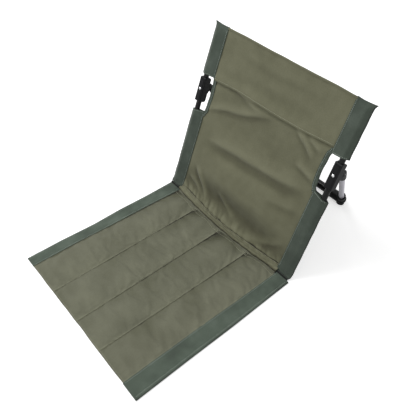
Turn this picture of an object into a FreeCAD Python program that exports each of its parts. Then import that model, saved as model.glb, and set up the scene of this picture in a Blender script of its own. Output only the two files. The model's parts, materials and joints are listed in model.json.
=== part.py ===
import FreeCAD, Part
import math
import os

# Folding ground chair: a padded mat to sit on, a reclined back on two poles, and a stand that folds out behind.
# Millimetres. +Z is up, the ground is z = 0, the sitter faces -Y, left and right are as seen from the front.
# The origin is on the ground, midway between the two sides, the front hem and the rear of the stand.

# Mat and back, overall
mat_width = 400.0
seat_depth = 387.0           # front edge to the hinge line
back_length = 398.0          # hinge line to the top edge
back_rise = 71.0             # degrees between the ground and the open back
band_width = 36.0            # side bands of the seat and pole sleeves of the back
cloth = 0.8                  # one layer of coated cloth
fold_gap = 1.0               # room between the closed back and the seat bands

# Seat mat
channel_count = 4
seat_valley = 2.4            # height of a sewn line between channels
seat_crown = 6.4             # height of a channel's middle
seat_end_crown = 3.4         # height of a channel where its ends are drawn in
seat_end_taper = 34.0
stitch_width = 1.6
foam_gap = 0.1
band_thickness = 3.0
band_edge = 1.1              # thickness of a band's sewn inner edge
hem_depth = 12.0
hem_thickness = 2.6

# Hinge welt, a sewn roll between the seat and the back
welt_radius = 4.2
welt_tab = 8.0
welt_tab_thickness = 2.2
welt_clear = 0.05            # running fit of the back's lower hem round the welt

# Back cloth. Heights are measured up the back from the hinge line, sags are rearward.
panel_thickness = 1.2
hinge_hem_front = 20.0       # degrees that the lower hem wraps the welt ahead of the panel
hinge_hem_rear = 80.0        # and behind it
hinge_hem_top = 12.0         # where the panel is sewn to its lower hem
hinge_bow = 8.6              # how far the panel's lower edge swings forward in the middle
lumbar_rise = 50.0
lumbar_bow = 4.0
belly_rise = 150.0
belly_sag = 5.0
shoulder_rise = 250.0
shoulder_sag = 3.6
ridge_bow = 1.6              # the cross seam stands forward
yoke_rise = 342.0
yoke_sag = 2.4
top_sag = 0.9
top_hem_height = 13.0
top_hem_thickness = 2.2
notch_bottom = 204.0
notch_top = 290.0            # also the height of the cross seam
notch_bite = 3.5             # depth of the curve that the notch cuts into the panel's edge
binding_width = 8.6
binding_thickness = 2.6
sleeve_bottom = 5.5
sleeve_end = 11.0            # length over which a sleeve flattens to its sewn end
sleeve_edge = 2.6            # thickness of a sleeve's sewn inner edge
sleeve_seam = 8.0            # cloth sewn together beside the pole's space
sleeve_throat = 0.8
sleeve_end_thickness = 3.4
ear = 3.0                    # how far the top corner of a sleeve points out past the mat
sleeve_fold = 2.0            # thickness of a sleeve's loose outer fold
sleeve_fold_throat = 0.6
fold_depth = 2.0             # cloth doubled beyond the pole's space
pole_inset = 12.0            # pole axis in from the outer edge of its sleeve
pole_gap = 0.3               # between a pole and its sleeve

# Poles and their plugs
pole_diameter = 12.0
pole_wall = 1.2
plug_head = 2.6
plug_stem = 14.0
plug_clear = 0.05
plug_end_gap = 0.3

# Pivot brackets, moulded blocks round the poles
bracket_bottom = 223.0
bracket_top = 279.0
bracket_width = 17.5
bracket_wall = 2.6           # between the pole and the flat front
bracket_corner = 2.5
bracket_chamfer = 1.4        # front edges of the two ends
bracket_shoulder = 4.0       # rear edges of the two ends
bracket_clear = 0.05
panel_proud = 0.8            # raised panel on the front, round the rivet
panel_width = 10.0
panel_margin = 4.0           # front left bare above and below the raised panel
pivot_rise = 254.0           # height of the pivot up the back
pivot_setback = 24.0         # pivot behind the pole axis
tongue_width = 6.0
tongue_radius = 6.5          # round end of the tongue about the pivot
tongue_above = 20.0          # root of the tongue above and below the pivot
tongue_below = 17.0
stop_width = 15.0
stop_below = 12.0            # foot of the stop below the pivot
stop_clear = 0.1             # between the open knuckle's heel and its stop
swing_clear = 0.5            # between the bracket and the folding knuckle
rivet_rise = 253.0
rivet_shank = 4.0
rivet_head = 6.4
rivet_dome = 1.7
rivet_clear = 0.05
rivet_tail = 1.6             # shank past the pole's rear wall
pin_diameter = 5.0
pin_clear = 0.05             # running fit in a bracket's tongue
pin_seat_clear = 0.02        # in the knuckle's cheeks
pin_inset = 0.6              # pin ends below the cheeks

# Stand
stand_open = 55.0            # degrees between the back and the open stand
knuckle_width = 15.6         # across the two cheeks
cheek_gap = 0.25             # between a cheek and the tongue
slot_clear = 0.4             # below the tongue's end
heel_reach = 14.0            # pivot to the round end of the heel that meets the stop
heel_depth = 8.0
strut_diameter = 12.0
strut_wall = 1.2
strut_clear = 0.05
socket_wall = 2.3
socket_floor = 12.5          # pivot to the end of a strut
socket_mouth = 36.0          # pivot to the mouth that takes a strut
foot_spread = 244.0          # between the two corners of the stand
bar_diameter = 20.0
bar_wall = 1.5
bar_clear = 0.05
elbow_wall = 2.0
elbow_arm = 36.0             # corner to the mouth that takes the crossbar
elbow_stop = 9.0             # corner to the end of the crossbar
cup_height = 36.0            # corner to the mouth that takes a strut
cup_floor = 13.0             # corner to the end of a strut
cup_wall = 3.0
lip_width = 1.2
lip_height = 3.5
sole_drop = 1.0              # sole below the crossbar's socket
sole_radius = 9.5

# Shared places
half_width = mat_width / 2
seam_x = half_width - band_width
pole_radius = pole_diameter / 2
sleeve_radius = pole_radius + pole_gap + cloth
pole_x = half_width - pole_inset
bracket_face = pole_radius + bracket_wall
panel_face = bracket_face + panel_proud
heel_sweep = (heel_reach - heel_depth / 2) * math.sin(math.radians(stand_open)) + heel_depth / 2
bracket_rear = pivot_setback - heel_sweep - swing_clear
pin_radius = pin_diameter / 2
strut_radius = strut_diameter / 2
socket_radius = strut_radius + socket_wall
bar_radius = bar_diameter / 2
elbow_radius = bar_radius + elbow_wall
cup_radius = strut_radius + cup_wall
foot_x = foot_spread / 2
foot_height = elbow_radius + sole_drop
hinge_hem_radius = welt_radius + welt_clear + cloth
hinge_z = hinge_hem_radius
back_setback = band_thickness + fold_gap + panel_face + rivet_dome - hinge_z
lean = 90.0 - back_rise
pivot_y = pivot_rise * math.sin(math.radians(lean)) + (back_setback + pivot_setback) * math.cos(math.radians(lean))
pivot_z = (hinge_z + pivot_rise * math.cos(math.radians(lean))
           - (back_setback + pivot_setback) * math.sin(math.radians(lean)))
splay = stand_open - lean
stand_length = (pivot_z - foot_height) / math.cos(math.radians(splay))
rear_reach = pivot_y + stand_length * math.sin(math.radians(splay)) + elbow_radius
hinge_y = (seat_depth - rear_reach) / 2
front_y = hinge_y - seat_depth
pad_front_y = front_y + hem_depth
pad_rear_y = hinge_y - welt_tab
pole_bottom = sleeve_bottom + sleeve_end + plug_end_gap + plug_head
pole_top = back_length - sleeve_end - plug_end_gap - plug_head
hem_rise = back_length - top_hem_height

X = FreeCAD.Vector(1, 0, 0)
Y = FreeCAD.Vector(0, 1, 0)
Z = FreeCAD.Vector(0, 0, 1)
ORIGIN = FreeCAD.Vector(0, 0, 0)
SIDES = (("left", -1), ("right", 1))


def point(x, y, z):
    return FreeCAD.Vector(x, y, z)


def outline(start, *steps):
    """A closed wire: a step is (end,) for a line or (middle, end) for an arc, and a line closes it."""
    edges = []
    here = start
    for step in steps:
        if len(step) == 1:
            edges.append(Part.makeLine(here, step[0]))
        else:
            edges.append(Part.Arc(here, step[0], step[1]).toShape())
        here = step[-1]
    if here.distanceToPoint(start) > 1e-6:
        edges.append(Part.makeLine(here, start))
    return Part.Wire(edges)


def prism(wire, way):
    return Part.Face(wire).extrude(way)


def loft(wires, ruled):
    return Part.makeLoft(wires, True, ruled)


def rod(radius, start, end):
    way = end - start
    return Part.makeCylinder(radius, way.Length, start, way)


def mirrored(shape, side):
    return shape if side > 0 else shape.mirror(ORIGIN, X)


def on_back(shape):
    """Moves a shape from the back's own frame (X across, Y rearward from the pole plane, Z up the back)."""
    placed = shape.copy()
    placed.translate(Y * back_setback)
    placed.rotate(ORIGIN, X, -lean)
    placed.translate(point(0, hinge_y, hinge_z))
    return placed


def on_stand(shape):
    """Moves a shape from the stand's own frame (origin on the pivot line, Z up the stand's plane)."""
    placed = shape.copy()
    placed.rotate(ORIGIN, X, splay)
    placed.translate(point(0, hinge_y + pivot_y, pivot_z))
    return placed


def save(name, shape):
    shape.exportStep("parts/" + name + ".step")


# Seat mat
channel_width = 2 * seam_x / channel_count


def channel_arc(left, right, y, valley, crown):
    return (point((left + right) / 2, y, crown), point(right, y, valley))


def seat_outline(y, crown):
    """Section of the mat across the seat: flat below, one crowned arc for each channel."""
    steps = [(point(-seam_x, y, seat_valley),)]
    for index in range(channel_count):
        left = -seam_x + index * channel_width
        steps.append(channel_arc(left, left + channel_width, y, seat_valley, crown))
    steps.append((point(seam_x, y, cloth),))
    return outline(point(-seam_x, y, cloth), *steps)


def strip_outline(index, y, crown, inset):
    """Section of one channel's inside, inset from the stitching and from the cloth above it."""
    left = -seam_x + index * channel_width + stitch_width / 2 + inset
    right = left + channel_width - stitch_width - 2 * inset
    base = cloth + inset
    valley = seat_valley - cloth / 2 - inset
    steps = ((point(left, y, valley),),
             channel_arc(left, right, y, valley, crown - cloth - inset),
             (point(right, y, base),))
    return outline(point(left, y, base), *steps)


def seat_stations(inset):
    return ((pad_front_y + inset, seat_end_crown),
            (pad_front_y + seat_end_taper, seat_crown),
            (pad_rear_y - seat_end_taper, seat_crown),
            (pad_rear_y - inset, seat_end_crown))


def seat_strip(index, end_inset, inset):
    return loft([strip_outline(index, y, crown, inset) for y, crown in seat_stations(end_inset)], True)


def seat_top_cloth():
    cover = loft([seat_outline(y, crown) for y, crown in seat_stations(0)], True)
    for index in range(channel_count):
        cover = cover.cut(seat_strip(index, cloth, 0))
    return cover


def seat_base_cloth():
    return Part.makeBox(2 * seam_x, pad_rear_y - pad_front_y, cloth, point(-seam_x, pad_front_y, 0))


def seat_band():
    """A folded band: sewn flat at its inner edge, round at its outer edge."""
    round_x = half_width - band_thickness / 2
    high = band_thickness
    middle = high / 2
    slant = middle * math.sqrt(0.5)
    section = outline(point(seam_x, front_y, 0),
                      (point(seam_x, front_y, band_edge),),
                      (point((seam_x + round_x) / 2, front_y, high - 0.25 * (high - band_edge)),
                       point(round_x, front_y, high)),
                      (point(round_x + slant, front_y, middle + slant), point(half_width, front_y, middle)),
                      (point(round_x + slant, front_y, middle - slant), point(round_x, front_y, 0)))
    return prism(section, Y * (pad_rear_y - front_y))


def seat_front_hem():
    """The mat's rolled front edge."""
    round_y = front_y + hem_thickness / 2
    middle = hem_thickness / 2
    slant = middle * math.sqrt(0.5)
    section = outline(point(-seam_x, pad_front_y, 0),
                      (point(-seam_x, pad_front_y, hem_thickness),),
                      (point(-seam_x, round_y, hem_thickness),),
                      (point(-seam_x, round_y - slant, middle + slant), point(-seam_x, front_y, middle)),
                      (point(-seam_x, round_y - slant, middle - slant), point(-seam_x, round_y, 0)))
    return prism(section, X * 2 * seam_x)


def hinge_welt():
    """A roll about the hinge line, with the tab that is sewn to the rear of the seat."""
    roll = rod(welt_radius, point(-half_width, hinge_y, hinge_z), point(half_width, hinge_y, hinge_z))
    tab = Part.makeBox(mat_width, welt_tab, welt_tab_thickness, point(-half_width, pad_rear_y, 0))
    return roll.fuse(tab).removeSplitter()


# Back cloth
def about_welt(x, radius, degrees):
    """A point about the hinge line, at an angle behind the line up the back."""
    angle = math.radians(degrees)
    return point(x, radius * math.sin(angle) - back_setback, radius * math.cos(angle))


def back_hinge_hem():
    """The back's lower hem: a fold round the welt, and a web up to the bowed edge of the panel."""
    half = panel_thickness / 2
    fold_wire = outline(point(-half_width, -back_setback, 0),
                        (about_welt(-half_width, hinge_hem_radius, -hinge_hem_front),),
                        (about_welt(-half_width, hinge_hem_radius, (hinge_hem_rear - hinge_hem_front) / 2),
                         about_welt(-half_width, hinge_hem_radius, hinge_hem_rear)))
    root = hinge_hem_radius - cloth / 2
    webs = []
    for x, bow in ((-seam_x, 0), (0, hinge_bow), (seam_x, 0)):
        webs.append(outline(point(x, -back_setback, 0),
                            (about_welt(x, root, 0),),
                            (point(x, -bow - half, hinge_hem_top),),
                            (point(x, half - bow, hinge_hem_top),),
                            (about_welt(x, root, 0.75 * hinge_hem_rear),)))
    bore = rod(welt_radius + welt_clear, point(-half_width, -back_setback, 0), point(half_width, -back_setback, 0))
    return prism(fold_wire, X * mat_width).cut(bore).fuse(loft(webs, False).cut(bore)).removeSplitter()


def panel_outline(rise, sag, thickness):
    """Section of the back panel across the back, bowed by its sag."""
    half = thickness / 2
    return outline(point(-seam_x, -half, rise),
                   (point(0, sag - half, rise), point(seam_x, -half, rise)),
                   (point(seam_x, half, rise),),
                   (point(0, sag + half, rise), point(-seam_x, half, rise)))


def notch_tool(side_reach, reach):
    """The space beyond the binding's inner edge, through the cloth."""
    inner = seam_x - binding_width
    region = outline(point(inner, -reach, notch_bottom),
                     (point(inner - notch_bite, -reach, (notch_bottom + notch_top) / 2),
                      point(inner, -reach, notch_top)),
                     (point(side_reach, -reach, notch_top),),
                     (point(side_reach, -reach, notch_bottom),))
    return prism(region, Y * 2 * reach)


def back_panel_lower():
    stations = ((hinge_hem_top, -hinge_bow), (lumbar_rise, -lumbar_bow), (belly_rise, belly_sag),
                (shoulder_rise, shoulder_sag), (notch_top, -ridge_bow))
    panel = loft([panel_outline(rise, sag, panel_thickness) for rise, sag in stations], False)
    for name, side in SIDES:
        panel = panel.cut(mirrored(notch_tool(half_width, back_setback), side))
    return panel


def back_panel_upper():
    stations = ((notch_top, -ridge_bow), (yoke_rise, yoke_sag), (hem_rise, top_sag))
    return loft([panel_outline(rise, sag, panel_thickness) for rise, sag in stations], False)


def back_top_hem():
    return prism(panel_outline(hem_rise, top_sag, top_hem_thickness), Z * top_hem_height)


def notch_binding():
    """Tape folded over the notch's curved edge."""
    inner = seam_x - binding_width
    middle = (notch_bottom + notch_top) / 2
    half = binding_thickness / 2
    strip = outline(point(inner, -half, notch_bottom),
                    (point(inner - notch_bite, -half, middle), point(inner, -half, notch_top)),
                    (point(seam_x, -half, notch_top),),
                    (point(seam_x - notch_bite, -half, middle), point(seam_x, -half, notch_bottom)))
    return prism(strip, Y * binding_thickness)


def touch_point(radius, edge_x, half):
    """Where a line from (edge_x, half) touches the upper side of a circle about the pole."""
    way = math.copysign(1.0, pole_x - edge_x)
    run = abs(pole_x - edge_x)
    reach = math.hypot(run, half)
    heading = math.atan2(-half, run) + math.asin(radius / reach)
    length = math.sqrt(reach ** 2 - radius ** 2)
    return edge_x + way * length * math.cos(heading), half + length * math.sin(heading)


def sleeve_section(near, crest, far, inner, outer, rise):
    """Section of a sleeve: arched over the pole, drawn in to its sewn inner edge and its outer fold."""
    return outline(point(inner[0], -inner[1], rise),
                   (point(inner[0], inner[1], rise),),
                   (point(near[0], near[1], rise),),
                   (point(pole_x, crest, rise), point(far[0], far[1], rise)),
                   (point(outer[0], outer[1], rise),),
                   (point(outer[0], -outer[1], rise),),
                   (point(far[0], -far[1], rise),),
                   (point(pole_x, -crest, rise), point(near[0], -near[1], rise)))


def wrapped_section(radius, inner, outer, rise):
    """A sleeve's section that lies taut on a circle about the pole."""
    return sleeve_section(touch_point(radius, *inner), radius, touch_point(radius, *outer), inner, outer, rise)


def round_section(rise):
    return wrapped_section(sleeve_radius, (seam_x, sleeve_edge / 2), (half_width, sleeve_fold / 2), rise)


def flat_section(rise, corner_x):
    return sleeve_section((pole_x - pole_radius, sleeve_edge / 2), sleeve_end_thickness / 2,
                          (pole_x + pole_radius, sleeve_fold / 2),
                          (seam_x, sleeve_edge / 2), (corner_x, sleeve_fold / 2), rise)


def sleeve_tube(bottom, top):
    space = wrapped_section(sleeve_radius - cloth, (seam_x + sleeve_seam, sleeve_throat / 2),
                            (half_width - fold_depth, sleeve_fold_throat / 2), bottom)
    return prism(round_section(bottom), Z * (top - bottom)).cut(prism(space, Z * (top - bottom)))


def sleeve_lower():
    open_from = sleeve_bottom + sleeve_end
    end = loft([flat_section(sleeve_bottom, half_width), round_section(open_from)], True)
    return sleeve_tube(open_from, notch_bottom).fuse(end).removeSplitter()


def sleeve_upper():
    open_to = back_length - sleeve_end
    end = loft([round_section(open_to), flat_section(back_length, half_width + ear)], True)
    return sleeve_tube(notch_top, open_to).fuse(end).removeSplitter()


# Poles
def rivet_hole():
    return rod(rivet_shank / 2 + rivet_clear, point(pole_x, -panel_face, rivet_rise),
               point(pole_x, pole_radius + rivet_tail, rivet_rise))


def back_pole():
    bottom = point(pole_x, 0, pole_bottom)
    top = point(pole_x, 0, pole_top)
    return rod(pole_radius, bottom, top).cut(rod(pole_radius - pole_wall, bottom, top)).cut(rivet_hole())


def pole_plug(end, way):
    """A domed cap over a pole's end, with a stem pressed into the tube."""
    seat = point(pole_x, 0, end)
    rim = plug_head / 2
    cap = rod(pole_radius, seat, seat + Z * way * rim)
    dome = Part.makeCone(pole_radius, pole_radius - rim, rim, seat + Z * way * rim, Z * way)
    stem = rod(pole_radius - pole_wall - plug_clear, seat, seat - Z * way * plug_stem)
    return cap.fuse(dome).fuse(stem).removeSplitter()


# Pivot brackets
def rounded_plan(half, front, rear, corner, z):
    """A rectangle with rounded corners, across the pole."""
    slant = corner * (1 - math.sqrt(0.5))
    return outline(point(-half, rear - corner, z),
                   (point(-half, front + corner, z),),
                   (point(slant - half, front + slant, z), point(corner - half, front, z)),
                   (point(half - corner, front, z),),
                   (point(half - slant, front + slant, z), point(half, front + corner, z)),
                   (point(half, rear - corner, z),),
                   (point(half - slant, rear - slant, z), point(half - corner, rear, z)),
                   (point(corner - half, rear, z),),
                   (point(slant - half, rear - slant, z), point(-half, rear - corner, z)))


def bracket_block():
    """A block round the pole, with rounded corners, chamfered ends and a raised panel on its front."""
    half = bracket_width / 2
    front = -bracket_face
    height = bracket_top - bracket_bottom
    side = outline(point(-half, front, bracket_bottom + bracket_chamfer),
                   (point(-half, front + bracket_chamfer, bracket_bottom),),
                   (point(-half, bracket_rear - bracket_shoulder, bracket_bottom),),
                   (point(-half, bracket_rear, bracket_bottom + bracket_shoulder),),
                   (point(-half, bracket_rear, bracket_top - bracket_shoulder),),
                   (point(-half, bracket_rear - bracket_shoulder, bracket_top),),
                   (point(-half, front + bracket_chamfer, bracket_top),),
                   (point(-half, front, bracket_top - bracket_chamfer),))
    plan = rounded_plan(half, front, bracket_rear, bracket_corner, bracket_bottom)
    block = prism(plan, Z * height).common(prism(side, X * bracket_width))
    panel = Part.makeBox(panel_width, panel_face, height - 2 * panel_margin,
                         point(-panel_width / 2, -panel_face, bracket_bottom + panel_margin))
    return block.fuse(panel)


def pivot_line(reach):
    return (point(-reach, pivot_setback, pivot_rise), point(reach, pivot_setback, pivot_rise))


def pivot_tongue():
    """Web behind the pole that tapers to a round end about the pivot."""
    left = -tongue_width / 2
    side = outline(point(left, 0, pivot_rise - tongue_below),
                   (point(left, pivot_setback, pivot_rise - tongue_radius),),
                   (point(left, pivot_setback + tongue_radius, pivot_rise),
                    point(left, pivot_setback, pivot_rise + tongue_radius)),
                   (point(left, 0, pivot_rise + tongue_above),))
    return prism(side, X * tongue_width)


def heel_stop():
    """Ribs beside the tongue. The heel of the open knuckle comes down on their slanted top."""
    open_way = math.radians(stand_open)
    rear = pivot_setback - socket_radius - swing_clear
    contact = heel_depth / 2 + stop_clear
    edge_y = pivot_setback - contact * math.cos(open_way)
    edge_z = pivot_rise - contact * math.sin(open_way)
    slope = 1 / math.tan(open_way)
    left = -stop_width / 2
    side = outline(point(left, 0, pivot_rise - stop_below),
                   (point(left, bracket_rear, pivot_rise - stop_below),),
                   (point(left, rear, pivot_rise - heel_depth / 2),),
                   (point(left, rear, edge_z + (edge_y - rear) * slope),),
                   (point(left, 0, edge_z + edge_y * slope),))
    return prism(side, X * stop_width)


def pivot_bracket():
    body = bracket_block().fuse(pivot_tongue()).fuse(heel_stop())
    bore = rod(pole_radius + bracket_clear, point(0, 0, bracket_bottom), point(0, 0, bracket_top))
    body = body.cut(bore).cut(rod(pin_radius + pin_clear, *pivot_line(tongue_width)))
    body.translate(X * pole_x)
    return body.cut(rivet_hole()).removeSplitter()


def bracket_rivet():
    """A dome head on the raised panel, and a shank through the pole."""
    face = point(pole_x, -panel_face, rivet_rise)
    shank = rod(rivet_shank / 2, face, point(pole_x, pole_radius + rivet_tail, rivet_rise))
    ball_radius = ((rivet_head / 2) ** 2 + rivet_dome ** 2) / (2 * rivet_dome)
    ball = Part.makeSphere(ball_radius, face + Y * (ball_radius - rivet_dome))
    dome = ball.common(rod(rivet_head, face, face - Y * 2 * rivet_dome))
    return shank.fuse(dome).removeSplitter()


# Stand
pivot = point(pole_x, 0, 0)
corner = point(foot_x, 0, -stand_length)
down_strut = (corner - pivot).normalize()


def cheek_slot():
    """Room for the tongue between the cheeks, with a floor that clears its taper when folded."""
    half_slot = tongue_width / 2 + cheek_gap
    floor = tongue_radius + slot_clear
    taper = (tongue_below - tongue_radius) / pivot_setback
    reach = socket_mouth
    left = pole_x - half_slot
    gap = outline(point(left, 0, -floor),
                  (point(left, -reach, -floor - reach * taper),),
                  (point(left, -reach, reach),),
                  (point(left, reach, reach),),
                  (point(left, reach, -floor),))
    return prism(gap, X * 2 * half_slot)


def strut_knuckle():
    """A forked end on the pivot pin, with a heel above the pin and a slanted socket for the strut."""
    half = knuckle_width / 2
    ball = Part.makeSphere(socket_radius, pivot)
    mouth = pivot + down_strut * socket_mouth
    socket = rod(socket_radius, pivot, mouth)
    heel_round = heel_depth / 2
    heel_end = pivot + Z * (heel_reach - heel_round)
    heel = Part.makeBox(knuckle_width, heel_depth, heel_reach - heel_round, point(pole_x - half, -heel_round, 0))
    heel = heel.fuse(rod(heel_round, heel_end - X * half, heel_end + X * half))
    bore = rod(strut_radius + strut_clear, pivot + down_strut * socket_floor, mouth)
    pin_hole = rod(pin_radius + pin_seat_clear, pivot - X * knuckle_width, pivot + X * knuckle_width)
    fork = ball.fuse(socket).fuse(heel).cut(cheek_slot())
    return fork.cut(bore).cut(pin_hole).removeSplitter()


def pivot_pin():
    reach = X * (knuckle_width / 2 - pin_inset)
    return rod(pin_radius, pivot - reach, pivot + reach)


def strut():
    top = pivot + down_strut * socket_floor
    bottom = corner - down_strut * cup_floor
    return rod(strut_radius, top, bottom).cut(rod(strut_radius - strut_wall, top, bottom))


def corner_foot():
    """A moulded corner: an arm for the crossbar, a lipped cup for the strut, and a flat sole."""
    arm_mouth = corner - X * elbow_arm
    cup_mouth = corner - down_strut * cup_height
    arm = rod(elbow_radius, arm_mouth, corner)
    ball = Part.makeSphere(elbow_radius, corner)
    cup = rod(cup_radius, corner, cup_mouth)
    lip = rod(cup_radius + lip_width, cup_mouth + down_strut * lip_height, cup_mouth)
    bar_bore = rod(bar_radius + bar_clear, arm_mouth, corner - X * elbow_stop)
    strut_bore = rod(strut_radius + strut_clear, corner - down_strut * cup_floor, cup_mouth)
    ground = on_stand(Part.Vertex(corner)).Point
    sole = rod(sole_radius, point(ground.x, ground.y, 0), ground)
    moulding = on_stand(arm.fuse(ball).fuse(cup).fuse(lip)).fuse(sole)
    return moulding.cut(on_stand(bar_bore)).cut(on_stand(strut_bore)).removeSplitter()


def crossbar():
    end = corner - X * elbow_stop
    start = point(-end.x, end.y, end.z)
    return rod(bar_radius, start, end).cut(rod(bar_radius - bar_wall, start, end))


os.makedirs("parts", exist_ok=True)

save("seat_top_cloth", seat_top_cloth())
save("seat_base_cloth", seat_base_cloth())
save("seat_front_hem", seat_front_hem())
save("hinge_welt", hinge_welt())
for number in range(channel_count):
    save("seat_foam_%d" % (number + 1), seat_strip(number, cloth + foam_gap, foam_gap))

save("back_hinge_hem", on_back(back_hinge_hem()))
save("back_panel_lower", on_back(back_panel_lower()))
save("back_panel_upper", on_back(back_panel_upper()))
save("back_top_hem", on_back(back_top_hem()))
save("crossbar", on_stand(crossbar()))

back_pieces = (("sleeve_lower", sleeve_lower()),
               ("sleeve_upper", sleeve_upper()),
               ("notch_binding", notch_binding()),
               ("back_pole", back_pole()),
               ("pole_plug_bottom", pole_plug(pole_bottom, -1)),
               ("pole_plug_top", pole_plug(pole_top, 1)),
               ("pivot_bracket", pivot_bracket()),
               ("bracket_rivet", bracket_rivet()))
for name, side in SIDES:
    save("seat_band_" + name, mirrored(seat_band(), side))
    for piece, shape in back_pieces:
        save(piece + "_" + name, mirrored(on_back(shape), side))
    save("strut_knuckle_" + name, mirrored(on_stand(strut_knuckle()), side))
    save("strut_" + name, mirrored(on_stand(strut()), side))
    save("pivot_pin_" + name, mirrored(on_stand(pivot_pin()), side))
    save("corner_foot_" + name, mirrored(corner_foot(), side))
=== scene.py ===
import json
import math

import bpy
import numpy as np
from mathutils import Matrix, Vector, noise


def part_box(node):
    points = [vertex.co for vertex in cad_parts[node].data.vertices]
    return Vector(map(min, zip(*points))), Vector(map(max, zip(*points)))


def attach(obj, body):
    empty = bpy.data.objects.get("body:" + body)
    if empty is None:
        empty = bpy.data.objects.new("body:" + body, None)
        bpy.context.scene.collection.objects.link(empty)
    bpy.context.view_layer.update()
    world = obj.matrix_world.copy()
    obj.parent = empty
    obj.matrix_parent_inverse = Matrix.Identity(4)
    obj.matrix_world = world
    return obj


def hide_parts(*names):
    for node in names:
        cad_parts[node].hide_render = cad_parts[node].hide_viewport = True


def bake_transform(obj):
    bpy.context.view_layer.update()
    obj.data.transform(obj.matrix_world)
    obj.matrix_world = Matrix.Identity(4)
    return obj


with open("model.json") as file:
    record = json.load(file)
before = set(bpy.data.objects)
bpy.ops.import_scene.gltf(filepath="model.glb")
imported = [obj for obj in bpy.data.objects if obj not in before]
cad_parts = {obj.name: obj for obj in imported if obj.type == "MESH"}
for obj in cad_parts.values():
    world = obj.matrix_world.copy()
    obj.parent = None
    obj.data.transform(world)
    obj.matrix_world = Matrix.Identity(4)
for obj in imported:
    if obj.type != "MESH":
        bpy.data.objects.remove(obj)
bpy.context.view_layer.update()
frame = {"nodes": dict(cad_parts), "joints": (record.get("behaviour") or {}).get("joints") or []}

# Seat mat
# Four strips of foam sewn between two layers of coated polyester cloth. The sewn lines draw the top cloth
# down between the strips, and the front edge is the same cloth turned under.
MM = 0.001
seam_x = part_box("seat_top_cloth")[1].x / MM
front_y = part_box("seat_front_hem")[0].y / MM
mat_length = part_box("seat_top_cloth")[1].y / MM - front_y
fold_joint = next(joint for joint in frame["joints"] if joint["name"] == "backrest_fold")
hinge_y = fold_joint["pos_m"][1] / MM
hinge_groove = 6.9  # the mat ends this far ahead of the hinge line
hinge_bow = 8.4  # the sewn hinge line swings forward in the middle of the mat
hinge_swing = 10.5  # from the middle to the sides
mat_floor = 0.9  # underside of the mat, on the base cloth
mat_valley = 2.6  # top of a sewn line
mat_crown = 6.8  # top of a channel
mat_front_crown = 4.6  # top of a channel at the turned front edge
mat_rear_crown = 5.0  # and where it is drawn in at the hinge
mat_front_taper = 26.0
mat_rear_taper = 34.0
mat_edge_round = 2.6  # the turned front and rear edges
mat_flange = 6.0  # flat cloth beyond the outer channels, sewn in under the side bands
flange_thickness = 1.0
rear_scallop = 1.4  # each channel swells back between its sewn lines
pucker_reach = 9.0  # from a sewn line
seam_shading_width = 2.0  # width of the painted shade on one side of each sewn line and of the painted highlight on the other
usual_wear = 0.5  # 0 is the darkest painted shadow, 1 is rubbed pale cloth and painted highlight
seam_front = (-174.0, -89.8, 0.6, 81.6, 161.0)
seam_rear = (-161.0, -84.7, 2.1, 88.4, 169.0)
channel_count = len(seam_front) - 1
columns_in_channel = 30
row_step = 3.0
wrinkle_shape = (1.7, 7, 3.5, 0.8, 8)  # height, reach on both sides, depth and place of the hollow beside it
mat_wrinkles = (
    ((-65, -108), (-34, -101), (-4, -90)), ((-73, -140), (-44, -144), (-26, -137)),
    ((-50, -34), (-20, -35)), ((17, -133), (36, -164)), ((98, -62), (134, -80)),
    ((106, -104), (140, -112)), ((13, 26), (-3, -5), (-11, -38)), ((100, 29), (120, 17), (146, 21)),
    ((10, -33), (48, -25)), ((-143, -154), (-110, -149)), ((95, -20), (128, -36)),
    ((4, -221), (26, -210), (52, -200)), ((36, -182), (58, -171), (82, -164)),
    ((-35, -178), (-12, -177), (2, -171)), ((-118, -191), (-88, -172)), ((84, -206), (112, -190)),
    ((-85, -186), (-48, -178)), ((16, -148), (52, -134)))


def smooth_step(value):
    clipped = np.clip(value, 0, 1)
    return clipped * clipped * (3 - 2 * clipped)


def bell(distance, width):
    return np.exp(-(distance / width) ** 2)


def ripple(across, along, size, seed):
    """Smooth bumps of about a given size, from -1 to 1, the same at each run."""
    across, along = np.broadcast_arrays(across, along)
    flat = zip(across.ravel() / size, along.ravel() / size)
    values = [noise.noise(Vector((a, b, seed))) for a, b in flat]
    return np.array(values).reshape(across.shape)


def rounded_line(points):
    """Cuts the corners of a line of points, twice."""
    line = np.array(points, float)
    for _ in range(2):
        near = 0.75 * line[:-1] + 0.25 * line[1:]
        far = 0.25 * line[:-1] + 0.75 * line[1:]
        middle = np.stack([near, far], 1).reshape(-1, line.shape[1])
        line = np.r_[line[:1], middle, line[-1:]]
    return line


def crease(across, along, points, height, above, below, valley, valley_gap):
    """Swell of the cloth along a line: round on its left side, drawn in on its right, faded at both ends."""
    line = rounded_line(points)
    lengths = np.linalg.norm(np.diff(line, axis=0), axis=1)
    starts = np.r_[[0], np.cumsum(lengths)]
    nearest = np.full(across.shape, np.inf)
    offset = np.zeros(across.shape)
    travelled = np.zeros(across.shape)
    for first, last, length, start in zip(line[:-1], line[1:], lengths, starts):
        way = (last - first) / length
        from_x = across - first[0]
        from_y = along - first[1]
        reach = np.clip(from_x * way[0] + from_y * way[1], 0, length)
        distance = np.hypot(from_x - reach * way[0], from_y - reach * way[1])
        side = np.where(way[0] * from_y - way[1] * from_x >= 0, 1, -1)
        closer = distance < nearest
        nearest = np.where(closer, distance, nearest)
        offset = np.where(closer, distance * side, offset)
        travelled = np.where(closer, start + reach, travelled)
    from_end = np.minimum(travelled, starts[-1] - travelled)
    fade = smooth_step(from_end / (0.3 * starts[-1]))
    swell = bell(offset, np.where(offset > 0, above, below))
    swell -= valley * bell(offset + valley_gap, 0.6 * valley_gap)
    return height * fade * swell


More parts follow.
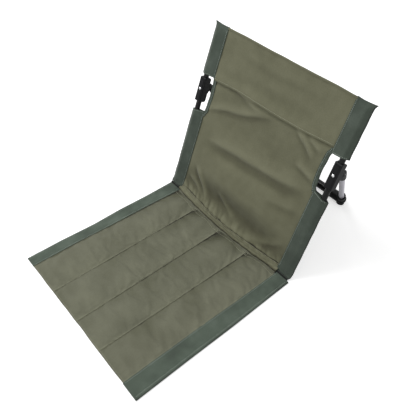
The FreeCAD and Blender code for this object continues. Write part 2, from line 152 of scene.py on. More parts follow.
def quads_of(index):
    return np.stack([index[:-1, :-1], index[:-1, 1:], index[1:, 1:], index[1:, :-1]], -1).reshape(-1, 4)


def mesh_of(name, points, faces):
    """A mesh from points in millimetres."""
    mesh = bpy.data.meshes.new(name)
    mesh.from_pydata((points * MM).tolist(), [], faces.tolist())
    return mesh


def new_object(name, data):
    made = bpy.data.objects.new(name, data)
    bpy.context.collection.objects.link(made)
    return made


def cloth_grid(name, rows, wear_and_shade=None, back=None):
    """A piece over rows of points, with a UV map of real lengths. With back it is a closed form."""
    count, width, _ = rows.shape
    index = np.arange(count * width).reshape(count, width)
    points = rows.reshape(-1, 3)
    faces = quads_of(index)
    across = np.cumsum(np.linalg.norm(np.diff(rows, axis=1, prepend=rows[:, :1]), axis=2), axis=1).mean(0)
    along = np.cumsum(np.linalg.norm(np.diff(rows, axis=0, prepend=rows[:1]), axis=2), axis=0).mean(1)
    cut = np.stack(np.broadcast_arrays(across[None, :], along[:, None]), -1).reshape(-1, 2)
    plain = np.full(count * width, usual_wear)
    worn_and_lit = plain if wear_and_shade is None else wear_and_shade.ravel()
    if back is not None:
        rim = np.r_[index[0], index[1:, -1], index[-1, -2::-1], index[-2:0:-1, 0]]
        ahead = np.roll(rim, -1)
        walls = np.stack([rim, rim + count * width, ahead + count * width, ahead], -1)
        faces = np.r_[faces, quads_of(index + count * width)[:, ::-1], walls]
        points = np.r_[points, back.reshape(-1, 3)]
        cut = np.r_[cut, cut]
        worn_and_lit = np.r_[worn_and_lit, plain]
    mesh = mesh_of(name, points, faces)
    corners = np.zeros(len(mesh.loops), int)
    mesh.loops.foreach_get("vertex_index", corners)
    layer = mesh.uv_layers.new(name="Cut")
    layer.data.foreach_set("uv", (cut[corners] * MM).ravel())
    attribute = mesh.attributes.new("wear_and_shade", "FLOAT", "POINT")
    attribute.data.foreach_set("value", worn_and_lit.astype(np.float32))
    return new_object(name, mesh)


def deselect():
    for other in bpy.context.selected_objects:
        other.select_set(False)


def pick(piece):
    """Selects one piece alone, as the operators need."""
    deselect()
    piece.select_set(True)
    bpy.context.view_layer.objects.active = piece


def smoothed(piece, sharp_over=50):
    pick(piece)
    bpy.ops.object.shade_smooth_by_angle(angle=math.radians(sharp_over))


def linear(hex_colour):
    """sRGB hex to the linear colour that a shader takes."""
    channels = [int(hex_colour[place:place + 2], 16) / 255 for place in (1, 3, 5)]
    return [c / 12.92 if c <= 0.04045 else ((c + 0.055) / 1.055) ** 2.4 for c in channels] + [1.0]


def fill(tree, node, inputs):
    """Fills a node's sockets with values or with other nodes' outputs."""
    for key, value in inputs.items():
        if isinstance(value, bpy.types.NodeSocket):
            tree.links.new(value, node.inputs[key])
        else:
            node.inputs[key].default_value = value


def add_node(tree, kind, inputs, **settings):
    """Adds a shader node, sets it up and fills its sockets."""
    node = tree.nodes.new("ShaderNode" + kind)
    for key, value in settings.items():
        setattr(node, key, value)
    fill(tree, node, inputs)
    return node


def new_material(name):
    material = bpy.data.materials.new(name)
    material.use_nodes = True
    return material, material.node_tree, material.node_tree.nodes["Principled BSDF"]


def coated_cloth(name, painted_shadow_colour, painted_shade_colour, plain, worn_and_lit, roughness):
    """Plain-weave polyester, matt coated: dull, a little mottled, paler where it rubs. Its wear attribute
    also carries painted shade, darkest in seams and grooves, and painted highlights.
    """
    thread = 1.5 * MM  # drawn three times as coarse as the real thread, so that it shows
    crumple = 14 * MM
    mottle = 70 * MM
    speckle = 2.2 * MM
    material, tree, shader = new_material(name)
    coordinates = add_node(tree, "TexCoord", {})
    place = coordinates.outputs["Object"]
    threads = {"Vector": coordinates.outputs["UV"], "Scale": 2 * math.pi / (20 * thread), "Distortion": 0.6}
    warp = add_node(tree, "TexWave", threads, bands_direction="X")
    weft = add_node(tree, "TexWave", threads, bands_direction="Y")
    weave = add_node(tree, "Math", {0: warp.outputs["Fac"], 1: weft.outputs["Fac"]}, operation="MULTIPLY")
    clouds = add_node(tree, "TexNoise", {"Vector": place, "Scale": 1 / mottle, "Detail": 3.0})
    crumples = add_node(tree, "TexNoise", {"Vector": place, "Scale": 1 / crumple, "Detail": 3.0,
                                           "Roughness": 0.6})
    specks = add_node(tree, "TexNoise", {"Vector": place, "Scale": 1 / speckle, "Detail": 1.0})
    painted_shade_and_wear = add_node(tree, "Attribute", {}, attribute_name="wear_and_shade")
    tone = add_node(tree, "Math", {0: clouds.outputs["Fac"], 1: 0.55, 2: painted_shade_and_wear.outputs["Fac"]},
                    operation="MULTIPLY_ADD")
    tone = add_node(tree, "Math", {0: specks.outputs["Fac"], 1: 0.35, 2: tone.outputs["Value"]},
                    operation="MULTIPLY_ADD")
    tone = add_node(tree, "MapRange", {"Value": tone.outputs["Value"], "From Min": -0.05, "From Max": 1.45})
    colour = add_node(tree, "ValToRGB", {"Fac": tone.outputs["Result"]})
    stops = colour.color_ramp.elements
    stops[0].color = linear(painted_shadow_colour)
    stops[1].color = linear(worn_and_lit)
    stops.new(0.333).color = linear(painted_shade_colour)
    stops.new(0.667).color = linear(plain)
    gloss = add_node(tree, "MapRange", {"Value": crumples.outputs["Fac"], "To Min": roughness - 0.08,
                                        "To Max": roughness + 0.08})
    height = add_node(tree, "Math", {0: weave.outputs["Value"], 1: 0.25, 2: crumples.outputs["Fac"]},
                      operation="MULTIPLY_ADD")
    bump = add_node(tree, "Bump", {"Height": height.outputs["Value"], "Strength": 0.55, "Distance": 1.2 * MM})
    fill(tree, shader, {"Base Color": colour.outputs["Color"], "Roughness": gloss.outputs["Result"],
                        "Normal": bump.outputs["Normal"], "Specular IOR Level": 0.28,
                        "Sheen Weight": 0.12, "Sheen Roughness": 0.5})
    return material


olive_cloth = coated_cloth("coated_polyester_olive", "#2C2B20", "#565745", "#676857", "#777865", 0.80)


def hinge_line(across):
    """The sewn hinge line's place along Y, not quite even, as it was sewn by hand over a roll."""
    uneven = 1.5 * ripple(across, 0, 38, 2.9) + 0.9 * ripple(across, 0, 13, 6.3)
    return hinge_y - hinge_bow + hinge_swing * (across / seam_x) ** 2 + uneven


mat_columns = [0.0, 0.0]
even = np.arange(1, columns_in_channel + 1) / columns_in_channel
spread = 0.5 - 0.5 * np.cos(np.pi * np.arange(1, columns_in_channel + 1) / columns_in_channel)
for channel in range(channel_count):
    mat_columns += list(channel + 0.8 * spread + 0.2 * even)
mat_columns = np.array(mat_columns + mat_columns[-1:])
edge_rows = np.array([0.0, 0.1, 0.3, 0.6, 1.0]) * mat_edge_round
even_rows = np.linspace(mat_edge_round, mat_length - mat_edge_round, int(mat_length / row_step))[1:-1]
from_front = np.r_[edge_rows, even_rows, mat_length - edge_rows[::-1]][:, None]
from_rear = from_front[-1] - from_front
share_back = from_front / from_front[-1]
seam_places = np.arange(len(seam_front))
seam_columns = 1 + columns_in_channel * seam_places
front_x = np.interp(mat_columns, seam_places, seam_front)
rear_x = np.interp(mat_columns, seam_places, seam_rear)
for edge_x in (front_x, rear_x):
    edge_x[0] -= mat_flange
    edge_x[-1] += mat_flange
mat_x = front_x + (rear_x - front_x) * share_back
channel_share = mat_columns - np.minimum(np.floor(mat_columns), channel_count - 1)
within = np.abs(2 * channel_share - 1)
mat_depth = hinge_line(mat_x) - hinge_groove + rear_scallop * (1 - within ** 2) - front_y
front_wave = 1.6 * ripple(mat_x, 0, 45, 3.1) + 1.0
mat_y = front_y + front_wave * (1 - share_back) + mat_depth * share_back
crown = 0.45 * (1 - within ** 2) + 0.55 * (1 - within ** 9)
at_front = 1 - smooth_step(from_front / mat_front_taper)
at_rear = 1 - smooth_step(from_rear / mat_rear_taper)
top_level = mat_crown + (mat_front_crown - mat_crown) * at_front + (mat_rear_crown - mat_crown) * at_rear
from_seam = (1 - within) * seam_x / 4
pucker = ripple(mat_x, 0.5 * mat_y, 9, 1.7) * bell(from_seam, pucker_reach) * crown
drift = ripple(mat_x, mat_y, 52, 5.3) + 0.6 * ripple(mat_x, 1.5 * mat_y, 26, 8.9)
mat_top = mat_valley + (top_level - mat_valley) * crown * (1 + 0.16 * drift) + 0.8 * pucker
for wrinkle in mat_wrinkles:
    mat_top += crown * crease(mat_x, mat_y, wrinkle, *wrinkle_shape)
mat_top[:, [0, -1]] = mat_floor + flange_thickness
from_edge = np.minimum(from_front, from_rear)
edge_share = np.clip(from_edge / mat_edge_round, 0, 1)
mat_top = mat_floor + (mat_top - mat_floor) * np.sqrt(np.clip(1 - (1 - edge_share) ** 2, 0.02, 1))


def settled(rows, sewn, press, slack, most):
    """Lets a sheet of cloth swell between the points that are sewn down, and limits how far it moves."""
    sheet = cloth_grid("slack_cloth", rows)
    group = sheet.vertex_groups.new(name="sewn")
    group.add(np.flatnonzero(sewn.ravel()).tolist(), 1.0, "REPLACE")
    pick(sheet)
    cloth = sheet.modifiers.new("Cloth", "CLOTH")
    cloth.collision_settings.use_collision = False
    settings = cloth.settings
    settings.vertex_group_mass = group.name
    settings.quality = 6
    settings.mass = 0.02
    settings.tension_stiffness = 12
    settings.compression_stiffness = 12
    settings.shear_stiffness = 4
    settings.bending_stiffness = 0.02
    settings.shrink_min = -slack
    settings.use_pressure = True
    settings.uniform_pressure_force = press
    settings.effector_weights.gravity = 0
    for step in range(1, 25):
        bpy.context.scene.frame_set(step)
    bpy.ops.object.modifier_apply(modifier=cloth.name)
    places = np.zeros(rows.size)
    sheet.data.vertices.foreach_get("co", places)
    bpy.data.objects.remove(sheet)
    bpy.context.scene.frame_set(1)
    move = places.reshape(rows.shape) / MM - rows
    length = np.linalg.norm(move, axis=2, keepdims=True)
    return rows + move * np.minimum(1, most / np.maximum(length, 1e-9))


mat_face = np.stack([mat_x, mat_y, mat_top], -1)
on_seam = np.isin(np.arange(len(mat_columns)), [0, *seam_columns, seam_columns[-1] + 1])
mat_face = settled(mat_face, (from_edge <= mat_edge_round) | on_seam, press=0.5, slack=0.02, most=3.0)
past_seam = channel_share * seam_x / 2
before_seam = (1 - channel_share) * seam_x / 2
# Painted light and shade on the mat. The tone follows the broad swells. Painted shade falls towards the
# hinge, just past each sewn line and on the left of each channel. Painted highlight falls just before each
# line and on the right of each channel. A painted shadow runs along the rear edge in the hinge groove.
mat_tone_and_shade = usual_wear + 0.25 * drift - 0.35 * at_rear - 0.55 * bell(past_seam - 1.4, seam_shading_width)
mat_tone_and_shade += 0.8 * bell(before_seam, seam_shading_width)
mat_tone_and_shade += (0.2 + 0.35 * share_back) * (channel_share - 0.45)
mat_tone_and_shade -= 0.4 * share_back ** 2 * bell(past_seam, 22)
mat_tone_and_shade -= 1.2 * (1 - smooth_step(from_rear / mat_edge_round))
seat_mat = cloth_grid("seat_mat", mat_face, mat_tone_and_shade,
                      np.stack([mat_x, mat_y, np.full_like(mat_x, mat_floor)], -1))
smoothed(seat_mat, 60)
seat_mat.data.materials.append(olive_cloth)
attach(seat_mat, "seat")
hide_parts("seat_top_cloth", "seat_front_hem",
            "seat_foam_1", "seat_foam_2", "seat_foam_3", "seat_foam_4")

# Seat stitching
# Lockstitch in bonded polyester thread: a row down each sewn line and along both ends of the mat, with a bar
# tack, a few stitches side by side, where each line runs out at the hinge.
stitch_pitch = 3.4
stitch_length = 2.7
stitch_dip = 0.3  # its ends go down into the cloth
thread_radius = 0.4
thread_lift = 0.25  # middle of the thread above the cloth's face
seam_lift = 0.45  # a sewn line's hollow is filled by its thread
end_lift = 0.3
tack_lift = 0.7
tack_pitch = 1.9
tack_reach = 5  # columns of the mat on each side of the line


def fine_grained(name, grain, detail, shades=None, marks=None, drawn=None, gloss=None, bump=None,
                 sockets=None):
    """A finish from one fine noise, which varies the colour between two shades, the gloss and the height.
    marks gives the shades a size of their own, and drawn is the grain's length along the struts."""
    material, tree, shader = new_material(name)
    inputs = dict(sockets or {})
    place = add_node(tree, "TexCoord", {}).outputs["Object"]
    scale = 1 / grain
    if drawn:
        turned = add_node(tree, "Mapping", {"Vector": place, "Rotation": (strut_tilt, 0, 0),
                                            "Scale": (1 / grain, 1 / grain, 1 / drawn)})
        place = turned.outputs["Vector"]
        scale = 1.0
    fine = add_node(tree, "TexNoise", {"Vector": place, "Scale": scale, "Detail": detail}).outputs["Fac"]
    if shades:
        broad = fine
        if marks:
            flow = add_node(tree, "TexNoise", {"Vector": place, "Scale": 1 / marks, "Detail": detail})
            broad = flow.outputs["Fac"]
        colour = add_node(tree, "ValToRGB", {"Fac": broad})
        for stop, shade in zip(colour.color_ramp.elements, shades):
            stop.color = linear(shade)
        inputs["Base Color"] = colour.outputs["Color"]
    if gloss:
        rough = add_node(tree, "MapRange", {"Value": fine, "To Min": gloss[0], "To Max": gloss[1]})
        inputs["Roughness"] = rough.outputs["Result"]
    if bump:
        raised = add_node(tree, "Bump", {"Height": fine, "Strength": bump[0], "Distance": bump[1]})
        inputs["Normal"] = raised.outputs["Normal"]
    fill(tree, shader, inputs)
    return material


def spun_thread(name, dark, pale):
    """Bonded sewing thread: a hard twisted yarn, paler and a little glossier than the cloth."""
    return fine_grained(name, 0.8 * MM, 2.0, (dark, pale), bump=(0.4, 0.2 * MM), sockets={"Roughness": 0.6})


def one_stitch():
    """A stitch along X: a six-sided rod whose ends are drawn out thin and down into the cloth."""
    deselect()
    bpy.ops.mesh.primitive_cylinder_add(vertices=6, radius=thread_radius * MM, depth=0.5 * stitch_length * MM,
                                        rotation=(0, math.pi / 2, 0))
    bpy.ops.object.transform_apply(location=False, rotation=True, scale=False)
    rod = bpy.context.active_object
    for face in rod.data.polygons:
        face.select = abs(face.normal.x) > 0.9
    bpy.ops.object.mode_set(mode="EDIT")
    bpy.ops.mesh.select_mode(type="FACE")
    bpy.ops.mesh.extrude_region_move()
    bpy.ops.transform.resize(value=(2.0, 0.45, 0.45))
    bpy.ops.transform.translate(value=(0, 0, -stitch_dip * MM))
    bpy.ops.object.mode_set(mode="OBJECT")
    corners = np.array([vertex.co for vertex in rod.data.vertices]) / MM
    faces = np.array([list(face.vertices)[:4] for face in rod.data.polygons if len(face.vertices) == 4])
    bpy.data.objects.remove(rod)
    return corners, faces


stitch_corners, stitch_faces = one_stitch()


def along_cloth(rows, lift, row=None, column=None):
    """A row or a column of a cloth's points, lifted off it, with the way out of the cloth at each point."""
    out = np.cross(np.gradient(rows, axis=1), np.gradient(rows, axis=0))
    out = math.copysign(1, lift) * out / np.linalg.norm(out, axis=2, keepdims=True)
    line = (slice(None), column) if row is None else (row, slice(None))
    return rows[line] + abs(lift) * out[line], out[line]


def sampled(places, travelled, values):
    """Values along a line, at places given by the length travelled."""
    return np.stack([np.interp(places, travelled, values[:, axis]) for axis in range(3)], -1)


def stitched(name, lines, thread, pitch=stitch_pitch):
    """Copies the stitch along lines, each of points and of the way out of the cloth there."""
    corners = []
    for line, out in lines:
        travelled = np.r_[[0], np.cumsum(np.linalg.norm(np.diff(line, axis=0), axis=1))]
        middle = np.arange(pitch / 2, travelled[-1] - pitch / 4, pitch)
        way = sampled(middle + 1, travelled, line) - sampled(middle - 1, travelled, line)
        way /= np.linalg.norm(way, axis=1, keepdims=True)
        side = np.cross(sampled(middle, travelled, out), way)
        side /= np.linalg.norm(side, axis=1, keepdims=True)
        turns = np.stack([way, side, np.cross(way, side)], 1)
        corners.append(sampled(middle, travelled, line)[:, None, :] + stitch_corners @ turns)
    corners = np.concatenate(corners)
    count, each, _ = corners.shape
    faces = stitch_faces[None] + each * np.arange(count)[:, None, None]
    piece = new_object(name, mesh_of(name, corners.reshape(-1, 3), faces.reshape(-1, 4)))
    smoothed(piece)
    piece.data.materials.append(thread)
    return piece


olive_thread = spun_thread("bonded_polyester_thread_olive", "#82836C", "#A8A994")
mat_lines = [along_cloth(mat_face[7:-8], seam_lift, column=column) for column in seam_columns[1:-1]]
mat_lines += [along_cloth(mat_face[:, 1:-1], end_lift, row=row) for row in (4, -7)]
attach(stitched("seat_stitches", mat_lines, olive_thread), "seat")
tack_lines = [along_cloth(mat_face[:, column - tack_reach:column + tack_reach + 1], tack_lift, row=row)
              for column in seam_columns[1:-1] for row in (-5, -6, -7)]
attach(stitched("bar_tacks", tack_lines, olive_thread, tack_pitch), "seat")

# Base cloth
# The plain lower layer of the mat, which lies on the ground. It is the same coated cloth, cut to the mat's
# outline and held in its seams.
base_thickness = 0.7
base_step = 12.0
base_front = 3.0  # behind the turned front edge
base_tuck = 6.0  # past the hinge line


def cloth_sheet(name, rows, wear_and_shade, thickness, cloth):
    """A sheet of cloth with its thickness, half to each side, and its finish."""
    piece = cloth_grid(name, rows, wear_and_shade)
    pick(piece)
    wall = piece.modifiers.new("Cloth thickness", "SOLIDIFY")
    wall.thickness = thickness * MM
    wall.offset = 0
    bpy.ops.object.modifier_apply(modifier=wall.name)
    bpy.ops.object.mode_set(mode="EDIT")
    bpy.ops.mesh.select_all(action="SELECT")
    bpy.ops.mesh.normals_make_consistent(inside=False)
    bpy.ops.object.mode_set(mode="OBJECT")
    smoothed(piece)
    piece.data.materials.append(cloth)
    return piece


base_x, base_y = np.meshgrid(np.arange(-seam_x, seam_x + 1, base_step),
                             np.linspace(front_y + base_front, hinge_y + base_tuck, 33))
base_points = np.stack([base_x, base_y, np.full_like(base_x, base_thickness / 2)], -1)
seat_base = cloth_sheet("seat_base", base_points, None, base_thickness, olive_cloth)
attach(seat_base, "seat")
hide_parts("seat_base_cloth")

# Side bands of the seat
# A strip of dark green cloth folded lengthwise over each side of the mat and sewn through along its inner
# edge. The two bands aren't quite alike, and both wander a little.
half_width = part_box("seat_band_right")[1].x / MM
band_cloth = 0.8
band_top = 3.1
band_bottom = 0.45
band_nose = 1.3  # half the height of the folded outer edge
band_short = 1.4  # a slit is left between the band and the hinge
band_front = 0.4
band_slack = 0.45  # how far its top layer lifts
band_sewn = (1, 13)  # columns of its mesh that are sewn through, near the inner and the outer edge
band_top_columns = 15
band_nose_columns = 9
band_under_columns = 8
band_green = coated_cloth("coated_polyester_green_pale", "#1B201B", "#404940", "#4E594E", "#5D685D", 0.78)
green_thread = spun_thread("bonded_polyester_thread_green", "#7E887E", "#AAB4AA")


def facing(side, rows):
    """Rows in the order that turns a left or a right piece's faces outwards."""
    return rows if side > 0 else rows[:, ::-1]


def seat_band(name, side, outer_line, inner_line):
    """A folded band from the front edge to the hinge. The lines give its edges as shares of its length."""
    share = np.linspace(0, 1, 120)[:, None]
    outer = np.interp(share, *zip(*outer_line))
    inner = np.interp(share, *zip(*inner_line))
    turn = np.linspace(0.35, 2.8, band_nose_columns)
    top = np.zeros(band_top_columns)
    under = np.zeros(band_under_columns)
    level = np.r_[np.linspace(0, 0.93, band_top_columns), np.ones(band_nose_columns),
                  np.linspace(0.93, 0, band_under_columns)]
    height = np.r_[top + band_top, band_bottom + band_nose * (1 + np.cos(turn)), under + band_bottom]
    nose = np.r_[top, np.sin(turn) - 1, under]
    across = inner + (outer - inner) * level + nose * band_nose
    along = np.broadcast_to(front_y + band_front + share * (hinge_y - band_short - front_y), across.shape)
    slack = ripple(side * across, along, 38, 11.0 + side) + 0.5 * ripple(side * across, along, 13, 2.0 + side)
    lift = band_slack * slack * (height > 2.5)
    points = facing(side, np.stack([side * across, along, height + lift], -1))
    # Painted light and shade on the band: paler where its top layer lifts, a painted shadow along its folded
    # outer edge, and painted shade towards the hinge.
    wear_and_shade = usual_wear + 0.45 * slack - 0.6 * (level == 1) - 0.25 * smooth_step((share - 0.8) / 0.2)
    piece = cloth_sheet(name, points, facing(side, wear_and_shade), band_cloth, band_green)
    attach(piece, "seat")
    columns = band_sewn if side > 0 else [-1 - column for column in band_sewn]
    lines = [along_cloth(points[1:-1], band_cloth / 2 + thread_lift, column=column) for column in columns]
    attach(stitched(name + "_stitches", lines, green_thread), "seat")
    return piece


band_left = seat_band("green_band_left", -1,
                      ((0, 201.0), (0.2, 200.0), (0.42, 196.0), (0.6, 197.5), (0.8, 195.5), (1, 196.0)),
                      ((0, 173.6), (0.3, 171.5), (0.5, 167.5), (0.75, 165.0), (1, 160.7)))
band_right = seat_band("green_band_right", 1,
                       ((0, 201.5), (0.3, 202.0), (0.6, 203.5), (0.85, 203.0), (1, 203.0)),
                       ((0, 161.0), (0.4, 163.0), (0.7, 166.5), (1, 168.5)))
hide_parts("seat_band_left")
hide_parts("seat_band_right")

# Hinge roll
# The seat and the back meet in a sewn roll of olive cloth, inside the back cloth's foot. It bows forward in
# the middle, where the hanging back pulls on it, and its tab is sewn under the rear of the mat.
roll_radius = 2.2
roll_cloth = 0.9
roll_z = 3.6  # middle of the roll above the ground
roll_tab_z = 1.5
roll_overhang = 1.0  # past the olive cloth at both ends
roll_turn = np.radians(np.linspace(222, -38, 22))
roll_tab = np.linspace(-14, -5.5, 5)
roll_x = np.linspace(-seam_x - roll_overhang, seam_x + roll_overhang, 160)
roll_y = np.r_[roll_tab, roll_radius * np.cos(roll_turn)]
roll_rise = np.r_[np.full(len(roll_tab), roll_tab_z), roll_z + roll_radius * np.sin(roll_turn)]
roll_across = np.repeat(roll_x[:, None], len(roll_y), 1)
roll_along = hinge_line(np.clip(roll_across, -seam_x, seam_x)) + roll_y
roll_bump = ripple(roll_across, roll_along, 16, 4.4) + 0.5 * ripple(roll_across, roll_along, 6, 1.4)
roll_bump = 0.15 * roll_bump * (roll_rise > roll_z)
# Painted light on the roll: its cloth is painted a little paler, and paler still on the bumps of its top.
hinge_roll = cloth_sheet("hinge_roll", np.stack([roll_across, roll_along, roll_rise + roll_bump], -1),
                         np.clip(0.6 + roll_bump, 0, 1), roll_cloth, olive_cloth)
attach(hinge_roll, "seat")
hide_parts("hinge_welt")

# Hinge ends
# Beyond the olive cloth the roll runs on to both sides in green cloth, low between band and sleeve. Its front
# tab is sewn under the band, and its rear tab is turned up into the sleeve.
green_cloth = coated_cloth("coated_polyester_green", "#121512", "#333B33", "#3F483F", "#4E574E", 0.78)
sides = (("left", -1), ("right", 1))
end_radius = 2.2
end_z = 2.6
end_back = 3.6  # middle of the roll behind the hinge line
end_tab = 8.0
end_lap = 8.0  # under the olive cloth
end_short = 2.5  # of the band's outer edge
end_turn = np.radians(np.linspace(222, -42, 16))
end_y = np.r_[[-end_tab, -end_tab / 2], end_radius * np.cos(end_turn), [end_tab / 2, end_tab]]
end_rise = np.r_[[0.5, 0.5], end_z + end_radius * np.sin(end_turn), [1.2, 4.2]]
end_x = np.linspace(seam_x - end_lap, half_width - end_short, 16)
for name, side in sides:
    end_across = np.repeat(side * end_x[:, None], len(end_y), 1)
    end_along = np.broadcast_to(hinge_y + end_back + end_y, end_across.shape)
    points = np.stack([end_across, end_along, np.broadcast_to(end_rise, end_across.shape)], -1)
    # Painted shade: the front tab and the front of the roll are dark as the shadowed slit before them, and
    # the rest is a little darker than plain cloth.
    end_shade = np.where(end_along < hinge_y + 3, -0.6, 0.3)
    hinge_end = cloth_sheet("hinge_end_" + name, points if side > 0 else points[::-1], end_shade, band_cloth,
                            green_cloth)
    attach(hinge_end, "seat")

# Back cloth
# Two olive panels hang between the poles, lapped and sewn across at the top of the side notches. Slack in the
# lower panel falls into slanting folds, and it is drawn in hard just above the hinge.
lean = math.radians(19)  # of the open back, behind upright
hinge_z = fold_joint["pos_m"][2] / MM
pole_low, pole_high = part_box("back_pole_right")
pole_x = (pole_low.x + pole_high.x) / 2 / MM
pole_radius = (pole_high.x - pole_low.x) / 2 / MM
pole_middle_y = (pole_low.y + pole_high.y) / 2 / MM - hinge_y
pole_middle_z = (pole_low.z + pole_high.z) / 2 / MM - hinge_z
setback = pole_middle_y * math.cos(lean) - pole_middle_z * math.sin(lean)
back_length = 398.0
notch_bottom = 204.0
notch_top = 290.0  # also the cross seam
notch_middle = (notch_bottom + notch_top) / 2
notch_half = (notch_top - notch_bottom) / 2
notch_bite = 3.5
panel_cloth = 1.0
panel_columns = 161
panel_tuck = 2.0  # under the sleeves
lap_lift = 2.0  # the upper panel lies over the lower one at the cross seam
lap_groove = 1.2  # and the lower one is drawn in below it
lap_row = 3.2  # stitches above the edge of the lap
lap_width = 7.0
sag_heights = (2.4, 8, 14, 20, 26, 32, 40, 55, 70, 85, 100, 150, 200, 250, 278, 290, 312, 342, 385, 398)
sag_depths = (-18, -16, -12, -5, 1.5, 5.2, 6.2, 2.6, -2.4, -5, -4.2, 2.2, 4.6, 3.6, 0.8, -1.6, 0.6, 2.0,
              0.9, 0.6)
side_depths = (-5.5, -3.2, -1.0, -0.2, 0.0) + 15 * (0.0,)
sewn_rise = 6.0  # a second row of stitches draws the panel in above its foot
sewn_pull = 1.5
gather_height = 3.0  # the cloth is gathered in above its foot
shade_line = ((-168, 0, 168), (46, 46, 26))  # middle of the painted shade in the hollow above the hinge
foot_radius = 3.1  # the panel's foot, wrapped over the hinge roll
foot_turn = (218, 70)  # degrees, from the groove behind the mat to the foot's rear
seam_line = ((-168, -90, -30, 30, 90, 168), (284, 290, 289.5, 290, 292, 299))
# Folds of the lower panel, then faint ones of the upper panel: the points of each line, across and up the
# back, its height, its reach above and below the line, and the depth and place of the hollow below it.
slack_folds = (
    (((-150, 158), (-96, 163), (-39, 168), (20, 172), (89, 179), (124, 187), (160, 204)),
     3.6, 36, 8, 0.6, 20),
    (((-176, 208), (-145, 226), (-108, 241), (-62, 250), (-11, 273), (30, 285)), 2.3, 20, 4, 0.3, 10),
    (((-128, 303), (-90, 294), (-40, 280), (-11, 273)), 1.3, 9, 4, 0.4, 9),
    (((72, 294), (92, 281), (112, 269), (136, 248)), 1.9, 8, 4, 0.5, 8),
    (((104, 292), (122, 283), (146, 272)), 1.3, 7, 4, 0.4, 8),
    (((96, 229), (120, 225), (140, 220), (160, 215)), 1.6, 11, 4, 0.5, 9),
    (((-158, 52), (-134, 41), (-110, 30), (-82, 14)), 2.0, 9, 4, 0.4, 9),
    (((-140, 86), (-120, 62), (-100, 40), (-74, 12)), 2.7, 9, 3.5, 0.5, 9),
    (((-60, 62), (-34, 44), (-8, 30), (24, 22)), 1.6, 9, 4, 0.4, 9),
    (((30, 12), (84, 22), (126, 38), (156, 66)), 1.6, 13, 6, 0.4, 11),
    (((60, 126), (110, 132), (158, 148)), 0.9, 16, 8, 0.5, 13))
tuck_folds = (
    (((-140, 330), (-60, 342), (40, 338), (130, 344)), 0.9, 22, 14, 0.4, 20),
    (((-150, 372), (-40, 366), (90, 372), (150, 368)), 0.6, 14, 10, 0.3, 12))
back_cloth = coated_cloth("coated_polyester_olive_warm", "#28261A", "#4A4937", "#60604B", "#72725C", 0.80)


def on_back(across, behind, rise):
    """Points across the back, behind the plane of the poles and up from the hinge, in the part's frame."""
    along = hinge_y + rise * math.sin(lean) + (behind + setback) * math.cos(lean)
    up = hinge_z + rise * math.cos(lean) - (behind + setback) * math.sin(lean)
    return np.stack([across, along, up], -1)


def eased(heights, values, rise):
    """A smooth curve through a few values (Catmull-Rom on uneven steps)."""
    heights = np.array(heights, float)
    values = np.array(values, float)
    slopes = np.gradient(values, heights)
    place = np.clip(np.searchsorted(heights, rise) - 1, 0, len(heights) - 2)
    step = heights[place + 1] - heights[place]
    share = np.clip((rise - heights[place]) / step, 0, 1)
    start = values[place] * (1 + 2 * share) * (1 - share) ** 2
    start += slopes[place] * step * share * (1 - share) ** 2
    end = values[place + 1] * (3 - 2 * share) * share ** 2
    end -= slopes[place + 1] * step * (1 - share) * share ** 2
    return start + end


def panel_depth(across, rise):
    """How far the hanging cloth lies behind the plane of the poles."""
    bow = 1 - np.clip(np.abs(across) / seam_x, 0, 1) ** 2
    middle = eased(sag_heights, sag_depths, rise)
    side = eased(sag_heights, side_depths, rise)
    return side + (middle - side) * bow


def panel_edge(rise):
    """Half width of the panel: out to the sleeves, and in at the notches, below the binding."""
    arc = 1 - ((rise - notch_middle) / notch_half) ** 2
    cut = seam_x - 2.2 - notch_bite * np.clip(arc, 0, 1)
    open_here = smooth_step((notch_half + 3 - np.abs(rise - notch_middle)) / 9)
    return seam_x + panel_tuck + (cut - seam_x - panel_tuck) * open_here


def relief(surface, reach):
    """How far each point stands out of the surface round it, from 0 in a hollow to 1 on a ridge."""
    mean = surface.copy()
    for _ in range(reach):
        padded = np.pad(mean, 1, mode="edge")
        mean = (padded[:-2, 1:-1] + padded[2:, 1:-1] + padded[1:-1, :-2] + padded[1:-1, 2:]) / 4
    return np.clip(0.5 + 0.5 * (surface - mean), 0, 1)


def with_foot(points, wear_and_shade):
    """Adds the rows of cloth that wrap the hinge roll below a panel."""
    turns = np.radians(np.linspace(*foot_turn, 13))[:, None]
    across = np.repeat(points[:1, :, 0], len(turns), 0)
    line = hinge_line(np.clip(across, -seam_x, seam_x))
    puckers = np.abs(ripple(across + 5 * turns, 14 * turns, 12, 4.4))
    gather = foot_radius + 1.1 * ripple(across, 0, 24, 3.7)
    gather += 1.5 * puckers * np.clip(np.sin(turns) + 0.3, 0, 1)
    foot = np.stack([across, line + gather * np.cos(turns), roll_z + gather * np.sin(turns)], -1)
    # Painted light and shade on the foot: paler over its top and on its puckers, with painted shade in front,
    # where it turns down into the groove behind the mat.
    foot_light_and_shade = 0.35 + 0.4 * np.sin(turns) + np.minimum(np.cos(turns), 0) + 0.6 * puckers
    return np.r_[foot, points], np.r_[foot_light_and_shade, wear_and_shade]


